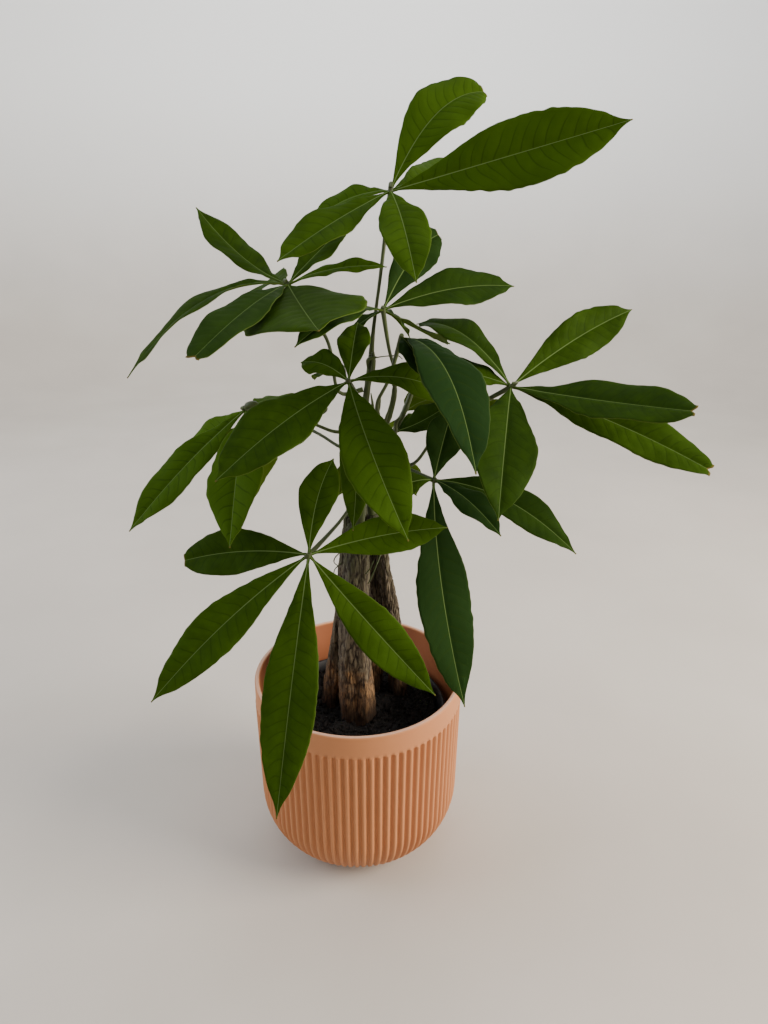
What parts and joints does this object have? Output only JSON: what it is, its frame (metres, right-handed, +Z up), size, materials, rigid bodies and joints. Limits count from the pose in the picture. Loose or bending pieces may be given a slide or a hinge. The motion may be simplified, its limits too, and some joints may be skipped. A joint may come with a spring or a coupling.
{
  "type": "potted money tree",
  "caption": "Potted house plant: upright trunks in a nursery pot of soil carry green shoots with fingered glossy leaves, and a ribbed cover pot holds it all.",
  "frame": {"origin": "middle of the cover pot's foot, on the surface that it stands on", "axes": "+Z up along the pot's axis, -Y towards the side that the leaves hang over most"},
  "size_m": [0.3203, 0.275, 0.4931],
  "materials": {
    "cover_pot": "matt moulded plastic in pale terracotta, ribbed, with a smooth band under the rim",
    "nursery_pot": "thin black polypropylene with a rolled rim",
    "soil": null,
    "bark": "grey-brown fissured bark, orange-brown and smoother near the soil",
    "shoot": "smooth green young stem",
    "leaf": null
  },
  "bodies": {
    "root": {"cover_pot": "cover_pot", "nursery_pot": "nursery_pot", "soil": "soil", "trunk_left": "bark", "trunk_front": "bark", "trunk_middle": "bark", "trunk_right": "bark", "shoot_left": "shoot", "shoot_front": "shoot", "shoot_middle": "shoot", "shoot_right": "shoot", "leaf_top": "leaf", "leaf_upper_left": "leaf", "leaf_crown": "leaf", "leaf_bent": "leaf", "leaf_right": "leaf", "leaf_front": "leaf", "leaf_left": "leaf", "leaf_low": "leaf", "leaf_low_right": "leaf", "leaf_small": "leaf", "leaf_back_right": "leaf", "leaf_back_left": "leaf", "leaf_back_low": "leaf"}
  },
  "joints": []
}
